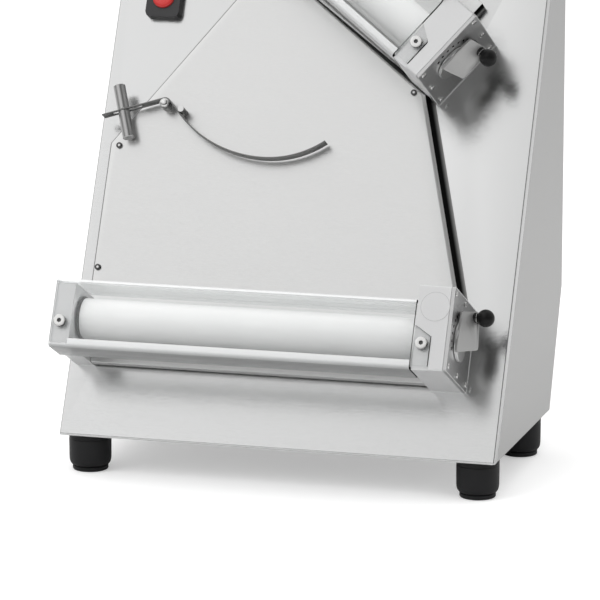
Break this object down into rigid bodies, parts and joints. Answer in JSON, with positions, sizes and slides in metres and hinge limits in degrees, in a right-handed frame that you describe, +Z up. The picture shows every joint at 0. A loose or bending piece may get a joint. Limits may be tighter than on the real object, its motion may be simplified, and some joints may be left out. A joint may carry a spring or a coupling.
{
  "type": "dough sheeter",
  "caption": "Bench dough sheeter: leaning stainless body with a slanted upper and a level lower roller head, clear guards, gap levers and a balance arm that turns the dough.",
  "frame": {"origin": "centre of the bounding box at the level of the feet", "axes": "+Z up, -Y towards the user, +X to the user's right"},
  "size_m": [0.553, 0.4444, 0.7527],
  "materials": {
    "stainless": "brushed",
    "aluminium": "satin",
    "steel": "turned",
    "roller_white": "smooth",
    "black_plastic": "satin",
    "clear_plastic": "clear",
    "belt": "matte",
    "motor_paint": "satin",
    "signal_green": "gloss",
    "signal_red": "gloss"
  },
  "bodies": {
    "housing": {"front_panel": "stainless", "left_side_panel": "stainless", "right_side_panel": "stainless", "rear_cover": "stainless", "base_plate": "stainless", "chute_plate": "stainless", "feed_plate": "stainless", "foot_cup_front_left": "black_plastic", "foot_cup_front_right": "black_plastic", "foot_cup_rear_left": "black_plastic", "foot_cup_rear_right": "black_plastic", "switch_housing": "black_plastic", "cable_gland": "black_plastic", "motor": "motor_paint", "gearbox": "aluminium", "lower_belt": "belt", "riser_belt": "belt", "upper_belt": "belt", "relay_bracket": "stainless", "balance_pivot": "steel", "lower_left_block": "aluminium", "lower_gear_block": "aluminium", "lower_guard": "clear_plastic", "lower_guard_screw_left": "steel", "lower_guard_screw_right": "steel", "lower_end_plate": "aluminium", "lower_scraper": "stainless", "upper_left_block": "aluminium", "upper_gear_block": "aluminium", "upper_guard": "clear_plastic", "upper_guard_screw_left": "steel", "upper_guard_screw_right": "steel", "upper_end_plate": "aluminium", "upper_scraper": "stainless"},
    "lower_lever": {"lower_adjusting_lever": "aluminium"},
    "lower_plunger": {"lower_index_knob": "black_plastic"},
    "lower_carriage": {"lower_left_slide_bearing": "black_plastic", "lower_right_slide_bearing": "black_plastic"},
    "lower_front": {"lower_front_roller": "roller_white", "lower_front_sleeve_gear": "steel"},
    "lower_rear": {"lower_rear_roller": "roller_white", "lower_rear_axle_gear": "steel"},
    "upper_lever": {"upper_adjusting_lever": "aluminium"},
    "upper_plunger": {"upper_index_knob": "black_plastic"},
    "upper_carriage": {"upper_left_slide_bearing": "black_plastic", "upper_right_slide_bearing": "black_plastic"},
    "upper_front": {"upper_front_roller": "roller_white", "upper_front_sleeve_gear": "steel"},
    "upper_rear": {"upper_rear_roller": "roller_white", "upper_rear_axle_gear": "steel"},
    "drive": {"drive_pulley": "steel"},
    "relay": {"relay_shaft": "steel"},
    "start": {"start_button": "signal_green"},
    "stop": {"stop_button": "signal_red"},
    "arm": {"balance_arm": "steel"},
    "weight": {"counterweight": "steel"},
    "front_left_glide": {"foot_glide_front_left": "black_plastic"},
    "front_right_glide": {"foot_glide_front_right": "black_plastic"},
    "rear_left_glide": {"foot_glide_rear_left": "black_plastic"},
    "rear_right_glide": {"foot_glide_rear_right": "black_plastic"}
  },
  "joints": [
    {"name": "lower_lever_turn", "type": "hinge", "parent": "housing", "child": "lower_lever", "pos_m": [0.232, -0.16142, 0.19904], "axis": [1, 0, 0], "range_deg": [-0.5, 128.5]},
    {"name": "lower_plunger_pull", "type": "slide", "parent": "lower_lever", "child": "lower_plunger", "axis": [1, 0, 0], "range_m": [0, 0.005], "stiffness_N_per_m": 600},
    {"name": "lower_gap_slide", "type": "slide", "parent": "housing", "child": "lower_carriage", "axis": [0, -0.8969, 0.4421], "range_m": [-0.004, 0]},
    {"name": "lower_rear_spin", "type": "hinge", "parent": "housing", "child": "lower_rear", "pos_m": [0.232, -0.11433, 0.17583], "axis": [1, 0, 0], "continuous": true},
    {"name": "lower_front_spin", "type": "hinge", "parent": "lower_carriage", "child": "lower_front", "pos_m": [0.232, -0.16321, 0.19993], "axis": [1, 0, 0], "continuous": true},
    {"name": "upper_lever_turn", "type": "hinge", "parent": "housing", "child": "upper_lever", "pos_m": [0.18321, -0.00655, 0.51323], "axis": [0.7934, -0.2692, -0.546], "range_deg": [-0.5, 128.5]},
    {"name": "upper_plunger_pull", "type": "slide", "parent": "upper_lever", "child": "upper_plunger", "axis": [0.7934, -0.2692, -0.546], "range_m": [0, 0.005], "stiffness_N_per_m": 600},
    {"name": "upper_gap_slide", "type": "slide", "parent": "housing", "child": "upper_carriage", "axis": [0, -0.8969, 0.4421], "range_m": [-0.004, 0]},
    {"name": "upper_rear_spin", "type": "hinge", "parent": "housing", "child": "upper_rear", "pos_m": [0.18321, 0.04054, 0.49002], "axis": [0.7934, -0.2692, -0.546], "continuous": true},
    {"name": "upper_front_spin", "type": "hinge", "parent": "upper_carriage", "child": "upper_front", "pos_m": [0.18321, -0.00834, 0.51412], "axis": [0.7934, -0.2692, -0.546], "continuous": true},
    {"name": "drive_spin", "type": "hinge", "parent": "housing", "child": "drive", "pos_m": [0.19, 0.03256, 0.115], "axis": [1, 0, 0], "continuous": true},
    {"name": "relay_spin", "type": "hinge", "parent": "housing", "child": "relay", "pos_m": [0.15822, 0.14769, 0.45859], "axis": [1, 0, 0], "continuous": true},
    {"name": "start_press", "type": "slide", "parent": "housing", "child": "start", "axis": [0, 0.8969, -0.4421], "range_m": [0, 0.003], "stiffness_N_per_m": 500},
    {"name": "stop_press", "type": "slide", "parent": "housing", "child": "stop", "axis": [0, 0.8969, -0.4421], "range_m": [0, 0.003], "stiffness_N_per_m": 500},
    {"name": "arm_swing", "type": "hinge", "parent": "housing", "child": "arm", "pos_m": [-0.1869, 0.00407, 0.4409], "axis": [0, 0.8969, -0.4421], "range_deg": [0, 60]},
    {"name": "weight_slide", "type": "slide", "parent": "arm", "child": "weight", "axis": [-0.95, -0.1381, -0.2801], "range_m": [-0.018, 0.01]},
    {"name": "front_left_glide_height", "type": "slide", "parent": "housing", "child": "front_left_glide", "axis": [0, 0, -1], "range_m": [0, 0.01]},
    {"name": "front_right_glide_height", "type": "slide", "parent": "housing", "child": "front_right_glide", "axis": [0, 0, -1], "range_m": [0, 0.01]},
    {"name": "rear_left_glide_height", "type": "slide", "parent": "housing", "child": "rear_left_glide", "axis": [0, 0, -1], "range_m": [0, 0.01]},
    {"name": "rear_right_glide_height", "type": "slide", "parent": "housing", "child": "rear_right_glide", "axis": [0, 0, -1], "range_m": [0, 0.01]}
  ],
  "couplings": [
    {"joint": "lower_lever_turn", "follows": "lower_gap_slide", "rad_per_m": -558.51},
    {"joint": "upper_lever_turn", "follows": "upper_gap_slide", "rad_per_m": -558.51},
    {"joint": "lower_front_spin", "follows": "lower_rear_spin", "ratio": -1},
    {"joint": "upper_rear_spin", "follows": "lower_rear_spin", "ratio": 1},
    {"joint": "upper_front_spin", "follows": "lower_rear_spin", "ratio": -1},
    {"joint": "drive_spin", "follows": "lower_rear_spin", "ratio": 1.3},
    {"joint": "relay_spin", "follows": "lower_rear_spin", "ratio": 1}
  ]
}
